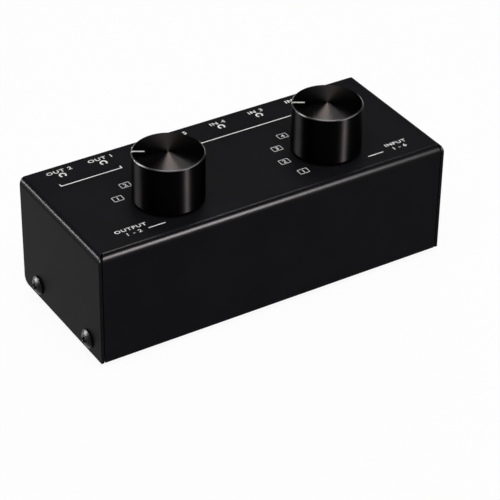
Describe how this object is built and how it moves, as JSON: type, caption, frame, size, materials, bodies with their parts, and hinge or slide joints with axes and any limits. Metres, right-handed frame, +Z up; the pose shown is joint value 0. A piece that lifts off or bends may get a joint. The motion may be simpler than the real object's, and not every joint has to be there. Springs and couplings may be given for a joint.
{
  "type": "audio selector switch",
  "caption": "Black folded steel desktop box with two turned aluminium knobs on its top that select the input and the output among stereo mini jack sockets in its back.",
  "frame": {"origin": "on the table, under the middle of the case", "axes": "+X to the right along the front, +Y to the back with the sockets, +Z up along the knob axes"},
  "size_m": [0.1254, 0.05, 0.056],
  "materials": {
    "case_paint": "satin black paint on steel sheet",
    "knob_aluminium": "turned, black anodised, bright cut chamfer",
    "screw_steel": "black oxide",
    "plated_steel": "zinc plated",
    "ball_steel": "polished",
    "plated_brass": "nickel plated brass",
    "contact_bronze": "phosphor bronze",
    "moulded_black": "moulded",
    "rotor_nylon": "moulded nylon",
    "wafer_phenolic": "phenolic sheet",
    "board": "green solder mask on glass epoxy",
    "foot_rubber": "matt"
  },
  "bodies": {
    "case": {"cover": "case_paint", "chassis": "case_paint", "back_panel": "case_paint", "cover_screws": "screw_steel", "rubber_feet": "foot_rubber", "circuit_board": "board", "output_housing": "moulded_black", "output_bushing": "plated_brass", "output_stop_ring": "plated_steel", "output_lock_washer": "plated_steel", "output_nut": "plated_brass", "output_wafer": "wafer_phenolic", "output_terminals": "contact_bronze", "input_housing": "moulded_black", "input_bushing": "plated_brass", "input_stop_ring": "plated_steel", "input_lock_washer": "plated_steel", "input_nut": "plated_brass", "input_wafer": "wafer_phenolic", "input_terminals": "contact_bronze", "jack_out_2": "moulded_black", "jack_out_1": "moulded_black", "jack_in_6": "moulded_black", "jack_in_5": "moulded_black", "jack_in_4": "moulded_black", "jack_in_3": "moulded_black", "jack_in_2": "moulded_black", "jack_in_1": "moulded_black", "contacts_out_2": "contact_bronze", "contacts_out_1": "contact_bronze", "contacts_in_6": "contact_bronze", "contacts_in_5": "contact_bronze", "contacts_in_4": "contact_bronze", "contacts_in_3": "contact_bronze", "contacts_in_2": "contact_bronze", "contacts_in_1": "contact_bronze"},
    "output_selector": {"output_knob": "knob_aluminium", "output_grub_screw": "screw_steel", "output_shaft": "plated_steel", "output_clip": "plated_steel", "output_rotor": "rotor_nylon", "output_detent_springs": "plated_steel", "output_detent_balls": "ball_steel", "output_wipers": "contact_bronze"},
    "input_selector": {"input_knob": "knob_aluminium", "input_grub_screw": "screw_steel", "input_shaft": "plated_steel", "input_clip": "plated_steel", "input_rotor": "rotor_nylon", "input_detent_springs": "plated_steel", "input_detent_balls": "ball_steel", "input_wipers": "contact_bronze"}
  },
  "joints": [
    {"name": "output_turn", "type": "hinge", "parent": "case", "child": "output_selector", "pos_m": [-0.028, -0.008, 0.0395], "axis": [0, 0, 1], "range_deg": [-30, 0]},
    {"name": "input_turn", "type": "hinge", "parent": "case", "child": "input_selector", "pos_m": [0.028, -0.008, 0.0395], "axis": [0, 0, 1], "range_deg": [-90, 60]}
  ]
}
